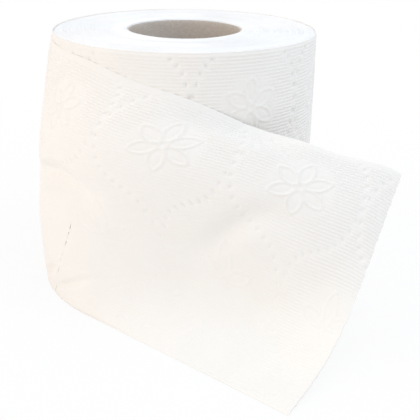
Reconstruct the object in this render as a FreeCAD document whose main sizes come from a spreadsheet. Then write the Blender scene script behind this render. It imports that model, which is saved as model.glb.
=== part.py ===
"""A toilet roll standing on end, with its last two sheets loosened and drawn out in front.

Frame: millimetres, +Z up, the roll's axis on Z and its lower end on z = 0.
The drawn-out sheet points to +X and -Y.
"""
import FreeCAD, Part
import math
import os
import Sketcher

doc = FreeCAD.newDocument("toilet_roll")
dimensions = doc.addObject("Spreadsheet::Sheet", "dimensions")

# Driving dimensions, in millimetres and degrees
DRIVING = [
    ("roll_radius", 52.0, "outside of the tissue that is still wound"),
    ("roll_height", 100.0, "width of the paper, and so height of the roll"),
    ("bore_radius", 21.7, "inside of the cardboard tube"),
    ("core_wall", 1.0, "thickness of the cardboard"),
    ("core_recess", 0.5, "how far the top of the tube lies inside the tissue"),
    ("core_clearance", 0.05, "between the tube and the first turn"),
    ("rim_chamfer", 1.2, "soft corner of the wound tissue"),
    ("turn_pitch", 4.0, "radial step between the turns that stand out"),
    ("turn_margin", 1.6, "plain ring left beside the tube and beside the rim"),
    ("turn_depth", 0.5, "height by which such a turn stands out"),
    ("turn_flank", 0.6, "width of the steep side of such a turn"),
    ("paper_thickness", 0.6, "embossed plies, one on another"),
    ("paper_clearance", 0.3, "between the loose paper and the wound tissue"),
    ("sheet_length", 113.0, "from one perforation to the next"),
    ("loose_sheet_count", 2.0, "sheets that have come away from the roll"),
    ("end_reach", 95.7, "paper from where the lower edge runs straight to the torn end"),
    ("flare", 11.9, "how far the lower edge has spiralled away from the roll there"),
    ("flare_exponent", 1.3, "how late the spiral opens"),
    ("lower_leave_angle", 234.0, "plan angle at which the lower edge runs straight"),
    ("upper_leave_angle", 272.0, "plan angle at which the upper edge leaves the roll"),
    ("upper_lag", 16.0, "paper by which the upper edge leaves later than the lower one"),
    ("upper_pull_ratio", 1.05, "how long the upper edge keeps the roll's direction"),
    ("end_lean_angle", 36.5, "slope of the torn end above the floor"),
    ("end_swing_angle", 54.3, "plan angle in which the torn end leans back"),
    ("fold_depth", 11.0, "height of the soft fold across the drawn-out sheet"),
    ("fold_centre", 32.0, "paper from the straight's start to the middle of the fold"),
    ("fold_rise", 82.0, "paper over which the fold grows"),
    ("fold_fall", 78.0, "paper over which it dies away"),
    ("belly", 9.2, "outward curve of the loosened turn"),
    ("belly_rise", 95.0, "paper over which the belly grows"),
    ("end_sag", 10.3, "inward curve of the torn end"),
    ("sag_lead", 25.0, "paper before the straight's start where belly turns to sag"),
    ("flare_mean_ratio", 0.6, "share of the flare that an average turn of the spiral has"),
]

for row, (alias, value, note) in enumerate(DRIVING, start=1):
    dimensions.set("A%d" % row, alias)
    dimensions.set("B%d" % row, str(value))
    dimensions.set("C%d" % row, note)
    dimensions.setAlias("B%d" % row, alias)
doc.recompute()


def size(alias):
    """The number that the sheet holds under a name."""
    return float(dimensions.get(alias))


def new_body(label):
    """An empty body that carries the node's name."""
    body = doc.addObject("PartDesign::Body", label)
    body.Label = label
    return body


def origin_plane(body, role):
    """One of a body's own origin planes."""
    for feature in body.Origin.OriginFeatures:
        if feature.Role == role:
            return feature
    raise ValueError("no origin plane " + role)


def new_sketch(body, name, role):
    """A sketch on one of the body's own origin planes."""
    sketch = body.newObject("Sketcher::SketchObject", name)
    sketch.AttachmentSupport = (origin_plane(body, role), [""])
    sketch.MapMode = "FlatFace"
    return sketch


def bind(sketch, constraint, expression):
    """Adds a constraint and binds it to the sheet."""
    index = sketch.addConstraint(constraint)
    sketch.setExpression("Constraints[%d]" % index, expression)


# Cardboard tube, which stands on the floor with the roll
def make_core_tube():
    body = new_body("core_tube")
    section = new_sketch(body, "core_section", "XY_Plane")
    centre = FreeCAD.Vector(0, 0, 0)
    up = FreeCAD.Vector(0, 0, 1)
    inside = section.addGeometry(Part.Circle(centre, up, size("bore_radius")))
    outside = section.addGeometry(Part.Circle(centre, up, size("bore_radius") + size("core_wall")))
    for circle in (inside, outside):
        section.addConstraint(Sketcher.Constraint("Coincident", circle, 3, -1, 1))
    bind(section, Sketcher.Constraint("Radius", inside, size("bore_radius")), "dimensions.bore_radius")
    bind(
        section,
        Sketcher.Constraint("Radius", outside, size("bore_radius") + size("core_wall")),
        "dimensions.bore_radius + dimensions.core_wall",
    )
    pad = body.newObject("PartDesign::Pad", "core_length")
    pad.Profile = section
    pad.setExpression("Length", "dimensions.roll_height - dimensions.core_recess")
    return body


# Wound tissue: one ring whose end faces step from turn to turn
TISSUE_BORE = "dimensions.bore_radius + dimensions.core_wall + dimensions.core_clearance"
OUTSIDE = "dimensions.roll_radius"
RIM = "dimensions.roll_radius - dimensions.rim_chamfer"
TOP = "dimensions.roll_height"


def turn_count(sketch):
    """How many turns show between the plain rings beside the tube and the rim."""
    room = "%s - dimensions.turn_margin - (%s + dimensions.turn_margin)" % (RIM, TISSUE_BORE)
    return int(sketch.evalExpression(room) / size("turn_pitch"))


def end_face_corners(count, face, valley):
    """Corners of an end face's section from the tube outwards, as pairs of expressions."""
    corners = [(TISSUE_BORE, face)]
    for turn in range(count):
        crest = "%s + dimensions.turn_margin + %d * dimensions.turn_pitch" % (TISSUE_BORE, turn)
        corners.append((crest, face))
        corners.append((crest + " + dimensions.turn_flank", valley))
    last = "%s + dimensions.turn_margin + %d * dimensions.turn_pitch" % (TISSUE_BORE, count)
    corners.append((last, face))
    corners.append((RIM, face))
    return corners


def draw_outline(sketch, corners):
    """A closed outline whose corners are bound to the sheet."""
    points = [FreeCAD.Vector(*[sketch.evalExpression(place) for place in corner], 0) for corner in corners]
    count = len(points)
    for index in range(count):
        sketch.addGeometry(Part.LineSegment(points[index], points[(index + 1) % count]))
    for index in range(count):
        sketch.addConstraint(Sketcher.Constraint("Coincident", index, 2, (index + 1) % count, 1))
    for index, (across, upward) in enumerate(corners):
        point = points[index]
        bind(sketch, Sketcher.Constraint("DistanceX", -1, 1, index, 1, point.x), across)
        if upward == "0":
            sketch.addConstraint(Sketcher.Constraint("PointOnObject", index, 1, -1))
        else:
            bind(sketch, Sketcher.Constraint("DistanceY", -1, 1, index, 1, point.y), upward)


def make_wound_roll():
    body = new_body("wound_roll")
    section = new_sketch(body, "wound_section", "XZ_Plane")
    count = turn_count(section)
    lower = end_face_corners(count, "0", "dimensions.turn_depth")
    upper = end_face_corners(count, TOP, TOP + " - dimensions.turn_depth")
    wall = [(OUTSIDE, "dimensions.rim_chamfer"), (OUTSIDE, TOP + " - dimensions.rim_chamfer")]
    draw_outline(section, lower + wall + upper[::-1])
    revolution = body.newObject("PartDesign::Revolution", "wound_ring")
    revolution.Profile = section
    revolution.ReferenceAxis = (section, ["V_Axis"])
    revolution.Angle = 360
    return body


# Loose paper: a bent sheet whose width is kept while its lower edge stands on the floor
def ease(share):
    """Runs smoothly from 0 to 1."""
    share = min(max(share, 0.0), 1.0)
    return share * share * (3 - 2 * share)


class LoosePaper:
    """The face of the loose paper that looks at the roll.

    A place on it is given by the length along the paper, counted from where the lower edge
    begins to run straight, and by the share of the width above the floor.
    """

    def __init__(self):
        self.width = size("roll_height")
        self.end = size("end_reach")
        self.start = self.end - size("loose_sheet_count") * size("sheet_length")
        self.on_roll = size("roll_radius") + size("paper_clearance")

    def lower_edge(self, along):
        """Plan point of the lower edge: a spiral about the roll, then a straight."""
        flare = size("flare")
        power = size("flare_exponent")
        share = min(max((along - self.start) / -self.start, 0.0), 1.0)
        radius = self.on_roll + flare * share**power
        leave = math.radians(size("lower_leave_angle"))
        angle = leave + min(along, 0.0) / (self.on_roll + size("flare_mean_ratio") * flare)
        heading = leave + math.pi / 2 - math.atan(power * flare / -self.start)
        past = max(along, 0.0)
        x = radius * math.cos(angle) + past * math.cos(heading)
        y = radius * math.sin(angle) + past * math.sin(heading)
        return x, y

    def curves(self, along):
        """Height of the fold, and of the outward belly, at a length."""
        offset = along - size("fold_centre")
        if offset > 0:
            share = min(offset / size("fold_fall"), 1.0) ** 2
        else:
            share = min(-offset / size("fold_rise"), 1.0)
        fold = size("fold_depth") * math.cos(math.pi / 2 * share) ** 2
        belly = size("belly") * ease((along - self.start) / size("belly_rise"))
        turned = ease((along + size("sag_lead")) / (self.end + size("sag_lead")))
        return fold, belly + (-size("end_sag") - belly) * turned

    def chord(self, along):
        """Straight distance between the edges that leaves the paper its cut width."""
        fold, belly = self.curves(along)
        return self.width - math.pi**2 * (4 * fold**2 + belly**2) / (4 * self.width)

    def upper_edge(self, along):
        """Plan point of the upper edge: round the roll, then a curve to the torn corner."""
        lag = size("upper_lag")
        leave = math.radians(size("upper_leave_angle"))
        angle = leave + min(along - lag, 0.0) / self.on_roll
        on_roll = (self.on_roll * math.cos(angle), self.on_roll * math.sin(angle))
        if along <= lag:
            return on_roll
        free = self.end - lag
        low = self.lower_edge(self.end)
        run = self.chord(self.end) * math.cos(math.radians(size("end_lean_angle")))
        swing = math.radians(size("end_swing_angle"))
        corner = (low[0] + run * math.cos(swing), low[1] + run * math.sin(swing))
        pull = size("upper_pull_ratio") * free
        first = (-pull * math.sin(leave), pull * math.cos(leave))
        share = (along - lag) / free
        point = []
        for axis in range(2):
            last = corner[axis] - on_roll[axis]
            point.append(
                (2 * share**3 - 3 * share**2 + 1) * on_roll[axis]
                + (share**3 - 2 * share**2 + share) * first[axis]
                + (3 * share**2 - 2 * share**3) * corner[axis]
                + (share**3 - share**2) * last
            )
        return tuple(point)

    def inner(self, along, share):
        """Point of the face that looks at the roll."""
        low = self.lower_edge(along)
        up = self.upper_edge(along)
        run = math.hypot(up[0] - low[0], up[1] - low[1])
        chord = self.chord(along)
        rise = math.sqrt(chord**2 - run**2)
        fold, belly = self.curves(along)
        off = belly * math.sin(math.pi * share) - fold * math.sin(2 * math.pi * share)
        back = share - off * rise / chord / run
        return FreeCAD.Vector(
            low[0] + (up[0] - low[0]) * back,
            low[1] + (up[1] - low[1]) * back,
            rise * share + off * run / chord,
        )

    def outer(self, along, share):
        """Point of the face that looks away from the roll."""
        probe = 0.01
        near = min(max(along, self.start + probe), self.end - probe)
        level = min(max(share, probe), 1 - probe)
        forward = self.inner(near + probe, level) - self.inner(near - probe, level)
        upward = self.inner(near, level + probe) - self.inner(near, level - probe)
        normal = forward.cross(upward).normalize()
        point = self.inner(along, share) + normal * size("paper_thickness")
        if share == 0:
            point.z = max(point.z, 0.0)
        return point


# Facets along and across the paper
CELLS_ALONG = 46
CELLS_ACROSS = 14


def facets(corners):
    """Two flat facets between four corners given in order round them."""
    first, second, third, fourth = corners
    loops = ([first, second, third, first], [first, third, fourth, first])
    return [Part.Face(Part.makePolygon(loop)) for loop in loops]


def make_loose_sheet():
    paper = LoosePaper()
    lengths = [paper.start + (paper.end - paper.start) * i / CELLS_ALONG for i in range(CELLS_ALONG + 1)]
    shares = [i / CELLS_ACROSS for i in range(CELLS_ACROSS + 1)]
    inner = [[paper.inner(along, share) for share in shares] for along in lengths]
    outer = [[paper.outer(along, share) for share in shares] for along in lengths]
    faces = []
    for i in range(CELLS_ALONG):
        for j in range(CELLS_ACROSS):
            for grid in (inner, outer):
                faces += facets([grid[i][j], grid[i + 1][j], grid[i + 1][j + 1], grid[i][j + 1]])
    for i in range(CELLS_ALONG):
        for j in (0, CELLS_ACROSS):
            faces += facets([inner[i][j], inner[i + 1][j], outer[i + 1][j], outer[i][j]])
    for j in range(CELLS_ACROSS):
        for i in (0, CELLS_ALONG):
            faces += facets([inner[i][j], inner[i][j + 1], outer[i][j + 1], outer[i][j]])
    shell = Part.Shell(faces)
    shell.sewShape()
    solid = Part.Solid(shell)
    if solid.Volume < 0:
        solid.reverse()
    node = doc.addObject("Part::Feature", "loose_sheet")
    node.Label = "loose_sheet"
    node.Shape = solid
    node.Placement = FreeCAD.Placement()
    return node


nodes = [make_core_tube(), make_wound_roll(), make_loose_sheet()]
doc.recompute()

for item in doc.Objects:
    if "Invalid" in item.State or "Error" in item.State:
        raise ValueError(item.Label + " failed: " + str(item.State))
for node in nodes:
    if node.Shape.isNull() or not node.Shape.isValid():
        raise ValueError(node.Label + " has no valid shape")

os.makedirs("parts", exist_ok=True)
for node in nodes:
    node.Shape.exportStep("parts/%s.step" % node.Label)
    print(node.Label, len(node.Shape.Solids), round(node.Shape.Volume, 1), node.Shape.BoundBox)
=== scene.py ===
"""Looks of a toilet roll that stands on end with its last two sheets loosened.

Sizes and places are millimetres and degrees; meshes are written in metres by MM.
A place on the paper is given by the length along it and by the share of its width above the floor.
"""
import math

import bpy
import numpy as np
from mathutils import Matrix, Vector


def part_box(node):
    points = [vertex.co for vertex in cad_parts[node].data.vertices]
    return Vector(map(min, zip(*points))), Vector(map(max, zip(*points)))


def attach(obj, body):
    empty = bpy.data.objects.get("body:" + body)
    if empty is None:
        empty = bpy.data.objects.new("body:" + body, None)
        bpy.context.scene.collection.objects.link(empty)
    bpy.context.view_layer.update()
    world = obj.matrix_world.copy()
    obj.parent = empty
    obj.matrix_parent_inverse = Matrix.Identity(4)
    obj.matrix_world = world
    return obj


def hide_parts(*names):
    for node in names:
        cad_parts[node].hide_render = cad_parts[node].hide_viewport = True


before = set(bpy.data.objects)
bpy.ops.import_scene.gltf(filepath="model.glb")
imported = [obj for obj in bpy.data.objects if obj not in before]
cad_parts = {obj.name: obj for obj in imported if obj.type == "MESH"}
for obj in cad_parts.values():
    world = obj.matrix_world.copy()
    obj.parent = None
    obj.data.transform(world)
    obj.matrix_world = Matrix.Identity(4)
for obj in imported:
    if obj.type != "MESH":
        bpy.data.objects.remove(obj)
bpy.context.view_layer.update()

MM = 0.001
TURN = 2 * math.pi

# Sizes that come from the frame
ROLL_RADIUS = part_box("wound_roll")[1].x / MM
ROLL_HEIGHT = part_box("wound_roll")[1].z / MM
CORE_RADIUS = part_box("core_tube")[1].x / MM
CORE_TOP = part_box("core_tube")[1].z / MM

# Paper, with the values that the solid of the loose sheet has
PAPER_CLEARANCE = 0.3
SHEET_LENGTH = 113.0
END_REACH = 95.7
START = END_REACH - 2 * SHEET_LENGTH
FLARE = 11.9
FLARE_EXPONENT = 1.3
FLARE_MEAN = 0.6
LOWER_LEAVE = math.radians(234.0)
UPPER_LEAVE = math.radians(272.0)
UPPER_LAG = 16.0
UPPER_PULL = 1.05
END_LEAN = math.radians(36.5)
END_SWING = math.radians(54.3)
FOLD_DEPTH = 11.0
FOLD_CENTRE = 32.0
FOLD_RISE = 82.0
FOLD_FALL = 78.0
BELLY = 9.2
BELLY_RISE = 95.0
END_SAG = 10.3
SAG_LEAD = 25.0
ON_ROLL = ROLL_RADIUS + PAPER_CLEARANCE

# The upper margin hangs down where the paper leaves the roll: depth, place and reach of each hollow
MARGIN_START = 0.75
MARGIN_HOLLOWS = ((1.5, -3.0, 13.0), (0.7, 28.0, 14.0))

# Paper as it looks: its plies, ribs and seam, and the grid of its meshes
PLIES = 0.42
EDGE_PLIES = 0.4
EDGE_TAPER = 0.9
RIB_COUNT = 80
RIB_HEIGHT = 0.15
WOUND_PRESS = 0.85
SEAM_LIFT = 0.52
SEAM_RUN = 14.0
ROWS = 4 * RIB_COUNT
COLUMNS = 192
LAST_SHEET_COLUMNS = 224
COVERED_COLUMNS = 40

# Lattice of wavy rows of pits, whose cells hold the ornaments
CELL_LENGTH = 44.0
CELL_WIDTH = 80.0
LATTICE_WAVE = 0.09
PITS_PER_SIDE = 13
PIT_DEPTH = 0.80
PIT_LENGTH = 0.85
PIT_WIDTH = 0.60
PLAIN_MARGIN = 0.012

# Ornaments: raised lines, each with a shallow ditch beside it
LEAF_WIDTH = 4.8
LINE_HEIGHT = 0.28
LINE_WIDTH = 0.42
DITCH_DEPTH = 0.11
DITCH_WIDTH = 0.5
DITCH_OFFSET = 0.9
ROSETTE_LEAVES = 6
ROSETTE_REACH = 6.0
ROSETTE_LEAF = 9.4
SPRIG_LEAF = 11.0
SPRIG_TIP = 13.0
SPRIG_SPREAD = 0.5
SPRIG_FOOT = -4.0
ORNAMENT_RADIUS = 9.5

# Perforations: bonds and cuts, the cuts that have opened (share of the width and gap), the torn end
BOND_PITCH = 4.6
BOND_LENGTH = 1.1
OPENED_CUTS = ((0.325, 0.20), (0.267, 0.15), (0.184, 0.09), (0.112, 0.11), (0.022, 0.13))
OPENED_SPREAD = 0.02
TORN_DEPTH = 0.16
TORN_ROUGHNESS = 0.14
PERFORATION_DEPTH = 0.05
PERFORATION_REACH = 0.8

# Lean of the perforation between the loose sheets: how long it is, the share of the width that it takes
# from the floor up, and the part of its length that lies behind the line's own place
PERFORATION_LEAN = 11.5
LEAN_HEIGHT = 0.5
LEAN_BACK = 0.33

# Dent at the left: its ridge climbs a little, its upper side is steep and its lower side soft
DENT_DEPTH = 5.2
DENT_START = -50.0
DENT_FADE = -14.0
DENT_LEVEL = 0.45
DENT_CLIMB = 0.06
DENT_UPPER_SIDE = 0.036
DENT_UPPER_EASING = 0.012
DENT_LOWER_SIDE = 0.09

# Small creases: place, share of the width, rise of that share for each millimetre, and reach
SMALL_CREASES = ((-12.0, 0.095, 0.007, 7.0), (-29.0, 0.07, 0.006, 8.0))
CREASE_DEPTH = 1.3
CREASE_WIDTH = 0.018

# Broad valley and soft waves
VALLEY_DEPTH = 2.3
VALLEY_PLACE = 49.0
VALLEY_REACH = 18.0
VALLEY_WIDTH = 0.055
WAVE_HEIGHT = 0.45
WAVE_LENGTH = 21.0
WAVES_ACROSS = 4

# Loose paper against the roll, and what its pattern keeps where it is pulled smooth
LOOSE_LIFT = 0.1
START_DIP = 0.3
MARGIN_PRESS = 0.43
MARGIN_BEND = 4.2
LOOSE_PITTING = 0.65
PULLED_SMOOTH = 0.3

# Wound tissue and tube
TISSUE_GAP = 0.05
TURN_STEP = 0.40
ROWS_PER_TURN = 3
TISSUE_COLUMNS = 220
TUBE_WALL = 1.0
TUBE_COLUMNS = 180
TUBE_ROWS = 60
WINDING_PITCH = 70.0
WINDING_STEP = 0.22

# Colours
PAPER_COLOUR = (0.903, 0.872, 0.815)
# Lighter copy of the paper colour for the roll's ends: painted light from above, so that the top face shows
# nearly white
PAPER_LIT_TOP_COLOUR = (0.955, 0.94, 0.912)
MOTTLE = 0.965
BOARD_DARK = (0.48, 0.42, 0.352)
BOARD_LIGHT = (0.63, 0.56, 0.485)
BOARD_FLECK = (0.72, 0.66, 0.60)
WHITE = (1.0, 1.0, 1.0)
FLOOR_COLOUR = (0.86, 0.86, 0.86)
SKY_COLOUR = (0.855, 0.855, 0.89)

# Camera: its place, how far it looks to the right and down, its tilt, its lens and its sensor
CAMERA_PLACE = (0.0, -327.26, 153.77)
CAMERA_PAN = math.radians(1.94)
CAMERA_PITCH = math.radians(21.91)
CAMERA_ROLL = math.radians(0.80)
CAMERA_LENS = 69.85
CAMERA_SENSOR = 36.0

# Sockets of a Mix node that mixes colours
MIX_FIRST = 6
MIX_SECOND = 7
MIX_RESULT = 2


def ease(share):
    """Runs smoothly from 0 to 1."""
    share = np.clip(share, 0, 1)
    return share * share * (3 - 2 * share)


def ramp(value, start, run):
    """Rises smoothly from 0 at start to 1 at the end of the run."""
    return ease((value - start) / run)


def bump(offset, width):
    """A soft hill of height 1 about offset 0."""
    return np.exp(-((offset / width) ** 2))


def smooth_noise(x, y, seed):
    """Noise between -1 and 1 that changes over about one unit of x and y."""
    cells = 64
    lattice = np.random.default_rng(seed).uniform(-1, 1, (cells, cells))
    column = np.floor(x).astype(int)
    row = np.floor(y).astype(int)
    across = ease(x - column)
    up = ease(y - row)

    def at(c, r):
        return lattice[c % cells, r % cells]

    low = at(column, row) * (1 - across) + at(column + 1, row) * across
    high = at(column, row + 1) * (1 - across) + at(column + 1, row + 1) * across
    return low * (1 - up) + high * up


# Shape of the loose paper
def lower_edge(along):
    """Plan point of the lower edge: a spiral about the roll, then a straight."""
    share = np.clip((along - START) / -START, 0, 1)
    radius = ON_ROLL + FLARE * share**FLARE_EXPONENT
    angle = LOWER_LEAVE + np.minimum(along, 0) / (ON_ROLL + FLARE_MEAN * FLARE)
    heading = LOWER_LEAVE + math.pi / 2 - math.atan(FLARE_EXPONENT * FLARE / -START)
    past = np.maximum(along, 0)
    x = radius * np.cos(angle) + past * math.cos(heading)
    y = radius * np.sin(angle) + past * math.sin(heading)
    return np.stack([x, y], -1)


def curves(along):
    """Height of the fold, and of the outward belly, at a length."""
    offset = along - FOLD_CENTRE
    falling = np.minimum(np.maximum(offset, 0) / FOLD_FALL, 1) ** 2
    rising = np.minimum(np.maximum(-offset, 0) / FOLD_RISE, 1)
    fold = FOLD_DEPTH * np.cos(math.pi / 2 * (falling + rising)) ** 2
    belly = BELLY * ramp(along, START, BELLY_RISE)
    turned = ramp(along, -SAG_LEAD, END_REACH + SAG_LEAD)
    return fold, belly + (-END_SAG - belly) * turned


def chord(along):
    """Straight distance between the edges that leaves the paper its cut width."""
    fold, belly = curves(along)
    return ROLL_HEIGHT - math.pi**2 * (4 * fold**2 + belly**2) / (4 * ROLL_HEIGHT)


def upper_edge(along):
    """Plan point of the upper edge: round the roll, then a curve to the torn corner."""
    angle = UPPER_LEAVE + np.minimum(along - UPPER_LAG, 0) / ON_ROLL
    on_roll = ON_ROLL * np.stack([np.cos(angle), np.sin(angle)], -1)
    free = END_REACH - UPPER_LAG
    end = np.array([END_REACH])
    run = chord(end) * math.cos(END_LEAN)
    corner = lower_edge(end)[0] + run * np.array([math.cos(END_SWING), math.sin(END_SWING)])
    leave = ON_ROLL * np.array([math.cos(UPPER_LEAVE), math.sin(UPPER_LEAVE)])
    first = UPPER_PULL * free * np.array([-math.sin(UPPER_LEAVE), math.cos(UPPER_LEAVE)])
    share = (np.clip((along - UPPER_LAG) / free, 0, None))[..., None]
    curve = (
        (2 * share**3 - 3 * share**2 + 1) * leave
        + (share**3 - 2 * share**2 + share) * first
        + (3 * share**2 - 2 * share**3) * corner
        + (share**3 - share**2) * (corner - leave)
    )
    return np.where((along > UPPER_LAG)[..., None], curve, on_roll)


def loose_surface(along, share):
    """Points of the face of the loose paper that looks at the roll."""
    low = lower_edge(along)
    up = upper_edge(along)
    run = np.hypot(up[..., 0] - low[..., 0], up[..., 1] - low[..., 1])
    straight = chord(along)
    rise = np.sqrt(straight**2 - run**2)
    fold, belly = curves(along)
    off = belly * np.sin(math.pi * share) - fold * np.sin(TURN * share)
    back = share - off * rise / straight / run
    plan = low + (up - low) * back[..., None]
    level = rise * share + off * run / straight - edge_drop(along, share)
    return np.concatenate([plan, level[..., None]], -1)


def wound_surface(along, share):
    """Points of the cylinder that the last wound turn lies on.

    It ends where the loose paper starts, and takes up that edge's slant over its last stretch.
    """
    stretch = 40.0
    lower_end = LOWER_LEAVE + START / (ON_ROLL + FLARE_MEAN * FLARE)
    upper_end = UPPER_LEAVE + (START - UPPER_LAG) / ON_ROLL
    skew = (upper_end - lower_end) * share * ramp(along, START - stretch, stretch)
    angle = lower_end + skew + (along - START) / ROLL_RADIUS
    radius = ROLL_RADIUS - PLIES
    return np.stack([radius * np.cos(angle), radius * np.sin(angle), ROLL_HEIGHT * share], -1)


def normals(surface, along, share):
    """Unit vectors that stand on a surface and point away from the roll."""
    probe = 0.01
    near = along
    if surface is loose_surface:
        near = np.clip(along, START + probe, END_REACH - probe)
    level = np.clip(share, probe, 1 - probe)
    forward = surface(near + probe, level) - surface(near - probe, level)
    upward = surface(near, level + probe) - surface(near, level - probe)
    normal = np.cross(forward, upward)
    return normal / np.linalg.norm(normal, axis=-1, keepdims=True)


# Embossing
def leaf(x, y, centre, turn, length, width):
    """Signed distance to the outline of a pointed leaf."""
    dx = x - centre[0]
    dy = y - centre[1]
    along = dx * math.cos(turn) + dy * math.sin(turn)
    aside = -dx * math.sin(turn) + dy * math.cos(turn)
    radius = (length**2 + width**2) / (4 * width)
    reach = radius - width / 2
    return np.hypot(along, np.abs(aside) + reach) - radius


def motif(x, y, kind):
    """Height of a pressed ornament about its own centre, and how far it calms the ribs.

    Kind 0 is a rosette of leaves, kind 1 a sprig of three leaves on a stem.
    """
    line = np.full(x.shape, ORNAMENT_RADIUS)
    if kind == 0:
        for step in range(ROSETTE_LEAVES):
            turn = (step + 0.5) * TURN / ROSETTE_LEAVES
            centre = (ROSETTE_REACH * math.cos(turn), ROSETTE_REACH * math.sin(turn))
            line = np.minimum(line, np.abs(leaf(x, y, centre, turn, ROSETTE_LEAF, LEAF_WIDTH)))
    else:
        upright = math.pi / 2
        leaves = ((SPRIG_SPREAD, SPRIG_LEAF), (upright, SPRIG_TIP), (math.pi - SPRIG_SPREAD, SPRIG_LEAF))
        for turn, length in leaves:
            reach = length / 2 + 1.0
            centre = (reach * math.cos(turn), reach * math.sin(turn) + SPRIG_FOOT)
            line = np.minimum(line, np.abs(leaf(x, y, centre, turn, length, LEAF_WIDTH)))
        stem_middle, stem_half, stem_bow = -7.5, 2.8, 0.06
        past_end = np.maximum(np.abs(y - stem_middle) - stem_half, 0)
        line = np.minimum(line, np.hypot(past_end, x - stem_bow * (y + 4.5) ** 2))
    calm = 1 - ramp(np.hypot(x, y), ORNAMENT_RADIUS, 4.0)
    height = LINE_HEIGHT * bump(line, LINE_WIDTH) - DITCH_DEPTH * bump(line - DITCH_OFFSET, DITCH_WIDTH)
    return height, calm


def lattice_pits(along, wide):
    """Rows of small pits along a lattice of wavy lines, and the distance to the nearest line."""
    a = along / CELL_LENGTH + wide / CELL_WIDTH
    b = along / CELL_LENGTH - wide / CELL_WIDTH
    diagonal = math.hypot(CELL_LENGTH, CELL_WIDTH)
    unit = CELL_LENGTH * CELL_WIDTH / diagonal
    spacing = diagonal / 2 / PITS_PER_SIDE
    pits = np.zeros(a.shape)
    nearest = np.full(a.shape, unit)
    wavy_a = a + LATTICE_WAVE * np.sin(TURN * b)
    wavy_b = b + LATTICE_WAVE * np.sin(TURN * a)
    for across, down, side in ((wavy_a, b, -1), (wavy_b, a, 1)):
        off_line = (across - np.round(across)) * unit
        off_pit = (down * PITS_PER_SIDE - np.round(down * PITS_PER_SIDE)) * spacing
        d_along = (off_pit * CELL_LENGTH + off_line * CELL_WIDTH) / diagonal
        d_wide = side * (off_pit * CELL_WIDTH - off_line * CELL_LENGTH) / diagonal
        pits = np.maximum(pits, bump(d_along, PIT_LENGTH) * bump(d_wide, PIT_WIDTH))
        nearest = np.minimum(nearest, np.abs(off_line))
    return pits, nearest


def embossing(along, share, ribbing, pitting):
    """Height of the pressed pattern over the paper's mean face, its ribs and pits scaled."""
    wide = ROLL_HEIGHT * share
    pits, nearest = lattice_pits(along, wide)
    calm = 1 - 0.8 * bump(nearest, 1.3)
    inside = ramp(np.minimum(share, 1 - share), PLAIN_MARGIN, 0.008)
    relief = -PIT_DEPTH * pitting * pits * inside
    for kind in (0, 1):
        column = along / CELL_LENGTH - 0.5 * kind
        row = wide / CELL_WIDTH - 0.5 * kind
        x = (column - np.floor(column) - 0.5) * CELL_LENGTH
        y = (row - np.round(row)) * CELL_WIDTH
        height, still = motif(x, y, kind)
        relief = relief + height
        calm = calm * (1 - 0.9 * still)
    ribs = RIB_HEIGHT * np.cos(TURN * RIB_COUNT * share) * calm * ribbing
    return relief + ribs


def lean(along, share):
    """How far the skewed paper carries a place forward: most at the perforation in its middle."""
    at_line = PERFORATION_LEAN * (ease(share / LEAN_HEIGHT) - LEAN_BACK)
    return at_line * (1 - np.abs(along - START - SHEET_LENGTH) / SHEET_LENGTH)


def perforation(along, share):
    """The faint crease along each perforation line, plainest near the floor."""
    place = (along - END_REACH) / SHEET_LENGTH
    off_line = (place - np.round(place)) * SHEET_LENGTH
    faint = 0.8 * ramp(share, 0.35, 0.2)
    return -PERFORATION_DEPTH * bump(off_line, PERFORATION_REACH) * (1 - faint)


def creases(along, share):
    """Dents and soft waves of the loosened paper."""
    ridge = DENT_LEVEL + DENT_CLIMB * np.clip((along + 44) / 22, 0, 1)
    off_ridge = share - ridge
    upper_side = DENT_UPPER_SIDE + DENT_UPPER_EASING * ramp(along, -36, 16)
    profile = bump(off_ridge, np.where(off_ridge > 0, upper_side, DENT_LOWER_SIDE))
    relief = -DENT_DEPTH * profile * ramp(along, DENT_START, 16) * (1 - ramp(along, DENT_FADE, 20))
    for place, level, rise, reach in SMALL_CREASES:
        off_crease = share - level - rise * (along - place)
        relief -= CREASE_DEPTH * bump(off_crease, CREASE_WIDTH) * bump(along - place, reach)
    middle = 0.42 + 0.25 * ramp(along, 28, 36)
    relief -= VALLEY_DEPTH * bump(share - middle, VALLEY_WIDTH) * bump(along - VALLEY_PLACE, VALLEY_REACH)
    calm_edge = 1 - ramp(share, 0.75, 0.2) * (1 - ramp(along, 10, 30))
    waves = smooth_noise(along / WAVE_LENGTH + 9, share * WAVES_ACROSS + 3, 5)
    return relief + WAVE_HEIGHT * waves * ramp(along, START, 60) * calm_edge


def edge_drop(along, share):
    """How far the upper margin hangs below its line where the paper leaves the roll."""
    drop = sum(depth * bump(along - place, reach) for depth, place, reach in MARGIN_HOLLOWS)
    return drop * ramp(share, MARGIN_START, 1 - MARGIN_START)


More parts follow.
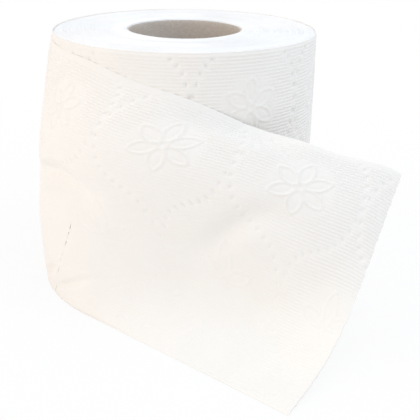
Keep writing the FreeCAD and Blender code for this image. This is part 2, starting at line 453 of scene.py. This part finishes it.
# Meshes
def make_object(name, points, faces, material, rim=()):
    """A smooth-shaded mesh object from points in millimetres; edges between rim vertices are sharp."""
    mesh = bpy.data.meshes.new(name)
    quads = [f for f in faces if f.shape[1] == 4]
    triangles = [f for f in faces if f.shape[1] == 3]
    loops = np.concatenate([f.ravel() for f in quads + triangles])
    sizes = np.concatenate([np.full(len(f), f.shape[1]) for f in quads + triangles])
    mesh.vertices.add(len(points))
    mesh.vertices.foreach_set("co", (points * MM).astype(np.float32).ravel())
    mesh.loops.add(len(loops))
    mesh.loops.foreach_set("vertex_index", loops.astype(np.int32))
    mesh.polygons.add(len(sizes))
    starts = np.concatenate([[0], np.cumsum(sizes)[:-1]])
    mesh.polygons.foreach_set("loop_start", starts.astype(np.int32))
    mesh.update(calc_edges=True)
    mesh.validate()
    mesh.polygons.foreach_set("use_smooth", np.ones(len(sizes), bool))
    if len(rim):
        ends = np.empty(2 * len(mesh.edges), np.int32)
        mesh.edges.foreach_get("vertices", ends)
        sharp = mesh.attributes.new("sharp_edge", "BOOLEAN", "EDGE")
        sharp.data.foreach_set("value", np.isin(ends.reshape(-1, 2), rim).all(1))
    mesh.materials.append(material)
    piece = bpy.data.objects.new(name, mesh)
    bpy.context.scene.collection.objects.link(piece)
    return piece


def grid_faces(indices):
    """Quads between neighbours of a grid of vertex numbers."""
    a = indices[:-1, :-1]
    b = indices[1:, :-1]
    c = indices[1:, 1:]
    d = indices[:-1, 1:]
    return np.stack([a, b, c, d], -1).reshape(-1, 4)


def closed(indices):
    """The grid with its first column again after its last, so that it runs once round."""
    return np.concatenate([indices, indices[:, :1]], 1)


def border(indices):
    """The grid's outermost vertex numbers, once round."""
    return np.concatenate([indices[:-1, 0], indices[-1, :-1], indices[:0:-1, -1], indices[0, :0:-1]])


def stitch(fine, coarse):
    """Triangles between a loop and one with half as many vertices."""
    a = fine[0::2]
    b = fine[1::2]
    c = np.roll(a, -1)
    d = coarse
    e = np.roll(coarse, -1)
    return np.concatenate([np.stack([b, a, d], -1), np.stack([c, b, e], -1), np.stack([b, d, e], -1)])


def cut_shape(level, gap):
    """How far the paper's end lies behind the perforation line: nothing at a bond, a gap at a cut."""
    place = (level * ROLL_HEIGHT / BOND_PITCH) % 1
    half = BOND_LENGTH / BOND_PITCH / 2
    return gap * ease((0.5 - np.abs(place - 0.5) - half) / 0.06)


def opened_gap(level):
    """Gap of the cuts that have opened between the two loose sheets, widest a third of the way up."""
    return sum(gap * bump(level - place, OPENED_SPREAD) for place, gap in OPENED_CUTS)


def plain_gap(level):
    """The cuts of an unopened perforation are shut."""
    return np.zeros(level.shape)


def torn_gap(level):
    """Depth of the torn end's small notches."""
    notches = 31
    return TORN_DEPTH + TORN_ROUGHNESS * smooth_noise(level * notches, np.full(level.shape, 2.0), 8)


def lowest_near(height):
    """At each place the lowest height of its own and its eight neighbours'."""
    around = np.pad(height, 1, mode="edge")
    rows = np.minimum(np.minimum(around[:-2], around[1:-1]), around[2:])
    return np.minimum(np.minimum(rows[:, :-2], rows[:, 1:-1]), rows[:, 2:])


def paper_piece(name, surface, lengths, ends, shape, material):
    """A closed thin sheet: its outer face is fine, its inner face has half the rows and columns.

    ends gives the gap of the cuts at the first and last column, and shape the height of the relief.
    """
    levels = np.linspace(0, 1, ROWS + 1)
    along, share = np.meshgrid(lengths, levels, indexing="ij")
    if surface is loose_surface:
        along = along + lean(along, share)
    height = shape(along, share)
    along[0] += cut_shape(levels, ends[0](levels))
    along[-1] -= cut_shape(levels, ends[1](levels))
    base = surface(along, share)
    normal = normals(surface, along, share)
    from_edge = np.minimum(share, 1 - share) * ROLL_HEIGHT
    thickness = PLIES * (EDGE_PLIES + (1 - EDGE_PLIES) * ease(from_edge / EDGE_TAPER))
    outer = base + normal * (height + thickness)[..., None]
    inner = (base + normal * lowest_near(height)[..., None])[::2, ::2]
    for face in (outer, inner):
        face[..., 2] = np.clip(face[..., 2], 0.0, ROLL_HEIGHT)
    fine = np.arange(outer[..., 0].size).reshape(outer.shape[:2])
    coarse = np.arange(inner[..., 0].size).reshape(inner.shape[:2]) + fine.size
    points = np.concatenate([outer.reshape(-1, 3), inner.reshape(-1, 3)])
    faces = [grid_faces(fine), grid_faces(coarse)[:, ::-1], stitch(border(fine), border(coarse))]
    rim = np.concatenate([border(fine), border(coarse)])
    return make_object(name, points, faces, material, rim)


# Materials
def new_material(name):
    """A material with its node tree, its shader, and a shorthand that adds a node.

    The shorthand takes a node's inputs by name or number, each as a value or as the socket to link.
    """
    material = bpy.data.materials.new(name)
    material.use_nodes = True
    tree = material.node_tree
    shader = tree.nodes["Principled BSDF"]

    def add(kind, inputs=None, **settings):
        node = tree.nodes.new(kind)
        for key, value in settings.items():
            setattr(node, key, value)
        for key, value in (inputs or {}).items():
            if isinstance(value, bpy.types.NodeSocket):
                tree.links.new(value, node.inputs[key])
            else:
                node.inputs[key].default_value = value
        return node

    return material, tree, shader, add


def mix_colours(add, factor, first, second):
    """The socket of a colour between two, which are triples or sockets."""
    inputs = {"Factor": factor}
    for key, colour in ((MIX_FIRST, first), (MIX_SECOND, second)):
        inputs[key] = (*colour, 1) if isinstance(colour, tuple) else colour
    return add("ShaderNodeMix", inputs, data_type="RGBA").outputs[MIX_RESULT]


def finish_shader(tree, shader, colour, normal, settings):
    """Links the shader's colour and normal, and sets its other inputs."""
    tree.links.new(colour, shader.inputs["Base Color"])
    tree.links.new(normal, shader.inputs["Normal"])
    for key, value in settings.items():
        shader.inputs[key].default_value = value


def paper_material(name, colour):
    """Soft white tissue: faint mottling, a fibrous bump and little gloss."""
    material, tree, shader, add = new_material(name)
    place = add("ShaderNodeTexCoord").outputs["Object"]
    mottle = add("ShaderNodeTexNoise", {"Vector": place, "Scale": 90.0, "Detail": 3.0})
    fibres = add(
        "ShaderNodeTexNoise",
        {"Vector": place, "Scale": 1900.0, "Detail": 4.0, "Roughness": 0.7},
    )
    dark = tuple(c * MOTTLE for c in colour)
    mottled = mix_colours(add, mottle.outputs["Fac"], dark, colour)
    relief = add(
        "ShaderNodeBump",
        {"Height": fibres.outputs["Fac"], "Strength": 0.35, "Distance": 0.12 * MM},
    )
    finish_shader(
        tree,
        shader,
        mottled,
        relief.outputs["Normal"],
        {"Roughness": 0.93, "Specular IOR Level": 0.22, "Sheen Weight": 0.12, "Sheen Roughness": 0.6},
    )
    return material


def board_material():
    """Grey-brown board with short dark and light fibres that follow the winding."""
    material, tree, shader, add = new_material("roll_board")
    place = add("ShaderNodeTexCoord").outputs["Object"]
    cloud = add("ShaderNodeTexNoise", {"Vector": place, "Scale": 60.0, "Detail": 4.0})
    stretched = add("ShaderNodeMapping", {"Vector": place, "Scale": (1.0, 1.0, 3.0)})
    flecks = add(
        "ShaderNodeTexNoise",
        {"Vector": stretched.outputs["Vector"], "Scale": 900.0, "Detail": 5.0, "Roughness": 0.75},
    )
    clouded = mix_colours(add, cloud.outputs["Fac"], BOARD_DARK, BOARD_LIGHT)
    spots = add("ShaderNodeMapRange", {"Value": flecks.outputs["Fac"], "From Min": 0.35, "From Max": 0.7})
    speckled = mix_colours(add, spots.outputs["Result"], clouded, BOARD_FLECK)
    relief = add(
        "ShaderNodeBump",
        {"Height": flecks.outputs["Fac"], "Strength": 0.4, "Distance": 0.1 * MM},
    )
    finish_shader(
        tree,
        shader,
        speckled,
        relief.outputs["Normal"],
        {"Roughness": 0.88, "Specular IOR Level": 0.25},
    )
    return material


paper = paper_material("tissue", PAPER_COLOUR)
# The same tissue, lighter for the roll's ends: painted light from above on the top face
paper_lit_top = paper_material("tissue_painted_top_light", PAPER_LIT_TOP_COLOUR)
board = board_material()


# Pieces of paper
def loose_relief(along, share):
    """Everything pressed or folded into the loose paper.

    Its start dips to the roll, its upper margin touches the roll and bends back to it further on,
    and its ribs and pattern are faint where the paper is pulled smooth.
    """
    near_floor = ease(share / PLAIN_MARGIN)
    ribbed = np.maximum(ramp(along, 58, 22), ramp(share, 0.70, 0.15))
    ribbing = PULLED_SMOOTH + (1 - PULLED_SMOOTH) * ribbed
    patterned = PULLED_SMOOTH + (1 - PULLED_SMOOTH) * ramp(share, 0.32, 0.35)
    patterned = patterned * (1 - ramp(share, 0.968, 0.012))
    pressed = patterned * embossing(along, share, ribbing, LOOSE_PITTING) + creases(along, share)
    line = perforation(along - lean(along, share), share)
    touch = -MARGIN_PRESS * ramp(share, 0.92, 0.06) * (1 - ramp(along, 16, 18))
    upper = upper_edge(along)
    apart = np.hypot(upper[..., 0], upper[..., 1]) - ON_ROLL
    bend = -np.minimum(apart, MARGIN_BEND) * ramp(share, 0.87, 0.13) * (1 - ramp(along, 42, 20))
    start = -START_DIP * (1 - ramp(along, START, 20))
    return pressed * near_floor + line + touch + bend + start + LOOSE_LIFT


def wound_relief(along, share):
    """The pressed pattern on the wound turn, which rises where it passes into the loose paper."""
    lift = SEAM_LIFT * ramp(along, START - SEAM_RUN, SEAM_RUN)
    return WOUND_PRESS * embossing(along, share, 1.0, 1.0) + perforation(along, share) + lift


def covered_relief(along, share):
    """The ribs alone, on the turn that the loose paper covers."""
    return WOUND_PRESS * RIB_HEIGHT * np.cos(TURN * RIB_COUNT * share)


def sheet_lengths(first, columns):
    """Even steps over one sheet."""
    return np.linspace(first, first + SHEET_LENGTH, columns + 1)


last_sheet = paper_piece(
    "last_sheet",
    loose_surface,
    sheet_lengths(START + SHEET_LENGTH, LAST_SHEET_COLUMNS),
    (opened_gap, torn_gap),
    loose_relief,
    paper,
)
next_sheet = paper_piece(
    "next_sheet",
    loose_surface,
    sheet_lengths(START, COLUMNS),
    (plain_gap, opened_gap),
    loose_relief,
    paper,
)
wound_sheets = [
    paper_piece(
        "wound_sheet_%d" % number,
        wound_surface,
        sheet_lengths(START - number * SHEET_LENGTH, COLUMNS),
        (plain_gap, plain_gap),
        wound_relief,
        paper,
    )
    for number in (1, 2)
]
covered = paper_piece(
    "covered_turn",
    wound_surface,
    np.linspace(START - TURN * ROLL_RADIUS, START - 2 * SHEET_LENGTH, COVERED_COLUMNS + 1),
    (plain_gap, plain_gap),
    covered_relief,
    paper,
)


# Wound tissue under the last turn, whose ends show every turn
def on_circle(radius, angle, level):
    """Points at a distance from the roll's axis, an angle about it and a level."""
    level = np.broadcast_to(level, angle.shape)
    return np.stack([radius * np.cos(angle), radius * np.sin(angle), level], -1)


def wound_tissue():
    """A closed ring: spiral ridges on both ends, and a waist under the last turn that stays clear of it."""
    inside = CORE_RADIUS + TISSUE_GAP
    outside = ROLL_RADIUS - PLIES - 0.03
    count = int((outside - inside) / TURN_STEP) * ROWS_PER_TURN
    radii = np.linspace(inside, outside, count + 1)
    angles = np.arange(TISSUE_COLUMNS) / TISSUE_COLUMNS * TURN
    radius, angle = np.meshgrid(radii, angles, indexing="ij")

    def end_face(seed):
        """How far the end face lies inside the roll's height."""
        mean, drift_height, broad_height, ridge_height = 0.30, 0.16, 0.22, 0.22
        rim_width, rim_drop = 1.6, 0.3
        turns = (radius - inside) / TURN_STEP - angle / TURN
        whole = np.floor(turns)
        part = turns - whole
        ridge = 0.5 - 0.5 * np.cos(TURN * part)
        drift = drift_height * smooth_noise(whole * 0.9, np.cos(angle) * 2 + 7, seed)
        drift += drift_height * smooth_noise(whole * 0.9, np.sin(angle) * 2 + 7, seed + 1)
        broad = broad_height * smooth_noise(radius / 3.5, np.cos(angle) * 1.5 + 9, seed + 2)
        depth = mean + drift * bump(part - 0.5, 0.5) + broad - ridge_height * ridge
        rim = ramp(radius, outside - rim_width, rim_width)
        return np.clip(depth, 0.03, 1.5) + rim_drop * rim**2

    waist_level, waist_depth = 1.2, 0.8
    points = np.concatenate(
        [
            on_circle(radius, angle, ROLL_HEIGHT - end_face(20)).reshape(-1, 3),
            on_circle(radius, angle, end_face(40)).reshape(-1, 3),
            on_circle(outside - waist_depth, angles, ROLL_HEIGHT - waist_level),
            on_circle(outside - waist_depth, angles, waist_level),
        ]
    )
    top = np.arange(radius.size).reshape(radius.shape)
    bottom = top + radius.size
    waist = 2 * radius.size + np.arange(2 * TISSUE_COLUMNS).reshape(2, TISSUE_COLUMNS)
    faces = [
        grid_faces(closed(top)),
        grid_faces(closed(bottom))[:, ::-1],
        grid_faces(closed(np.stack([top[-1], *waist, bottom[-1]]))),
        grid_faces(closed(np.stack([bottom[0], top[0]]))),
    ]
    return make_object("wound_tissue", points, faces, paper_lit_top)


tissue = wound_tissue()


def cardboard_tube():
    """A spirally wound tube with the step of its seam and slightly rounded cut ends."""
    rounding, bevel = 0.5, 0.12
    middle = np.linspace(rounding, CORE_TOP - rounding, TUBE_ROWS)
    heights = np.concatenate([[0.0, bevel], middle, [CORE_TOP - bevel, CORE_TOP]])
    angles = np.arange(TUBE_COLUMNS) / TUBE_COLUMNS * TURN
    height, angle = np.meshgrid(heights, angles, indexing="ij")

    def wall(radius, outward):
        """One side of the wall, which steps back where one winding ends on the next."""
        place = (height / WINDING_PITCH - angle / TURN) % 1
        step = WINDING_STEP * (place - ease(place / 0.015))
        from_end = np.minimum(height, CORE_TOP - height)
        edge = 0.18 * np.maximum(1 - from_end / rounding, 0) ** 2
        lump = 0.05 * smooth_noise(height / 9, np.cos(angle) * 3 + 8, 60)
        return on_circle(radius + outward * (step - edge - 0.02) + lump, angle, height)

    outer = wall(CORE_RADIUS, 0.15)
    inner = wall(CORE_RADIUS - TUBE_WALL, -1.0)
    points = np.concatenate([outer.reshape(-1, 3), inner.reshape(-1, 3)])
    out = np.arange(height.size).reshape(height.shape)
    back = out + height.size
    faces = [
        grid_faces(closed(out))[:, ::-1],
        grid_faces(closed(back)),
        grid_faces(closed(np.stack([back[-1], out[-1]])))[:, ::-1],
        grid_faces(closed(np.stack([out[0], back[0]])))[:, ::-1],
    ]
    return make_object("cardboard_tube", points, faces, board)


tube = cardboard_tube()

for piece in (last_sheet, next_sheet, *wound_sheets, covered, tissue, tube):
    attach(piece, "root")
for piece in (last_sheet, next_sheet):
    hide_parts("loose_sheet")
for piece in (*wound_sheets, covered, tissue):
    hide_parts("wound_roll")
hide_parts("core_tube")


# Floor, light and camera
def white_rays(tree):
    """1 for the rays that see the white surroundings: from the camera, mirrored or passed through."""
    path = tree.nodes.new("ShaderNodeLightPath")
    total = path.outputs["Is Camera Ray"]
    for kind in ("Is Glossy Ray", "Is Transmission Ray"):
        larger = tree.nodes.new("ShaderNodeMath")
        larger.operation = "MAXIMUM"
        tree.links.new(total, larger.inputs[0])
        tree.links.new(path.outputs[kind], larger.inputs[1])
        total = larger.outputs[0]
    return total


def studio_floor():
    """A pale floor that shows white to the camera and keeps a faint shadow near the roll."""
    material, tree, shader, add = new_material("studio_floor")
    shader.inputs["Base Color"].default_value = (*FLOOR_COLOUR, 1)
    shader.inputs["Roughness"].default_value = 1.0
    shader.inputs["Specular IOR Level"].default_value = 0.0
    place = add("ShaderNodeTexCoord").outputs["Object"]
    distance = add("ShaderNodeVectorMath", {0: place}, operation="LENGTH").outputs["Value"]
    whiteness = add(
        "ShaderNodeMapRange",
        {"Value": distance, "From Min": 80 * MM, "From Max": 300 * MM, "To Min": 0.86, "To Max": 1.0},
    )
    seen = white_rays(tree)
    share = add("ShaderNodeMath", {0: seen, 1: whiteness.outputs["Result"]}, operation="MULTIPLY")
    glow = add("ShaderNodeEmission", {"Color": (*WHITE, 1), "Strength": 1.0})
    mixed = add(
        "ShaderNodeMixShader",
        {"Fac": share.outputs["Value"], 1: shader.outputs[0], 2: glow.outputs[0]},
    )
    tree.links.new(mixed.outputs[0], tree.nodes["Material Output"].inputs["Surface"])
    reach = 4000.0
    just_below = -0.02
    corners = [(-reach, -reach), (reach, -reach), (reach, reach), (-reach, reach)]
    points = np.array([(x, y, just_below) for x, y in corners])
    floor = make_object("studio_floor", points, [np.array([[0, 1, 2, 3]])], material)


def studio_world():
    """Soft light from all round, which the camera sees as white."""
    world = bpy.data.worlds.new("studio")
    world.use_nodes = True
    tree = world.node_tree
    background = tree.nodes["Background"]
    seen = tree.nodes.new("ShaderNodeMix")
    seen.data_type = "RGBA"
    tree.links.new(white_rays(tree), seen.inputs["Factor"])
    seen.inputs[MIX_FIRST].default_value = (*SKY_COLOUR, 1)
    seen.inputs[MIX_SECOND].default_value = (*WHITE, 1)
    tree.links.new(seen.outputs[MIX_RESULT], background.inputs["Color"])
    background.inputs["Strength"].default_value = 1.0
    bpy.context.scene.world = world


def area_lamp(name, place, target, width, power, colour):
    """A square lamp of a width and power (in watts) that looks at a target."""
    data = bpy.data.lights.new(name, "AREA")
    data.shape = "SQUARE"
    data.size = width * MM
    data.energy = power
    data.color = colour
    lamp = bpy.data.objects.new(name, data)
    away = np.array(place, float) - np.array(target, float)
    lamp.location = np.array(place) * MM
    lamp.rotation_euler = Vector(away).to_track_quat("Z", "Y").to_euler()
    bpy.context.scene.collection.objects.link(lamp)


def studio_camera():
    """The photograph's viewing angle and framing."""
    level_right = np.array([math.cos(CAMERA_PAN), -math.sin(CAMERA_PAN), 0])
    level_ahead = np.array([math.sin(CAMERA_PAN), math.cos(CAMERA_PAN), 0])
    ahead = math.cos(CAMERA_PITCH) * level_ahead - math.sin(CAMERA_PITCH) * np.array([0, 0, 1])
    level_up = np.cross(level_right, ahead)
    right = math.cos(CAMERA_ROLL) * level_right + math.sin(CAMERA_ROLL) * level_up
    up = -math.sin(CAMERA_ROLL) * level_right + math.cos(CAMERA_ROLL) * level_up
    data = bpy.data.cameras.new("view")
    data.sensor_width = CAMERA_SENSOR
    data.lens = CAMERA_LENS
    data.clip_start = 10 * MM
    data.clip_end = 20000 * MM
    camera = bpy.data.objects.new("view", data)
    axes = np.eye(4)
    axes[:3, 0] = right
    axes[:3, 1] = up
    axes[:3, 2] = -ahead
    axes[:3, 3] = np.array(CAMERA_PLACE) * MM
    camera.matrix_world = Matrix(axes.tolist())
    bpy.context.scene.collection.objects.link(camera)
    bpy.context.scene.camera = camera


studio_floor()
studio_world()
area_lamp("left", (-800, -350, 260), (0, -20, 50), 500, 1.75, (1.0, 0.84, 0.66))
area_lamp("top", (60, 120, 950), (0, 0, 60), 600, 0.85, (1.0, 0.93, 0.82))
area_lamp("right", (420, -220, 880), (20, -20, 60), 500, 2.05, (0.51, 0.755, 1.0))
studio_camera()

bpy.context.scene.view_settings.view_transform = "Standard"
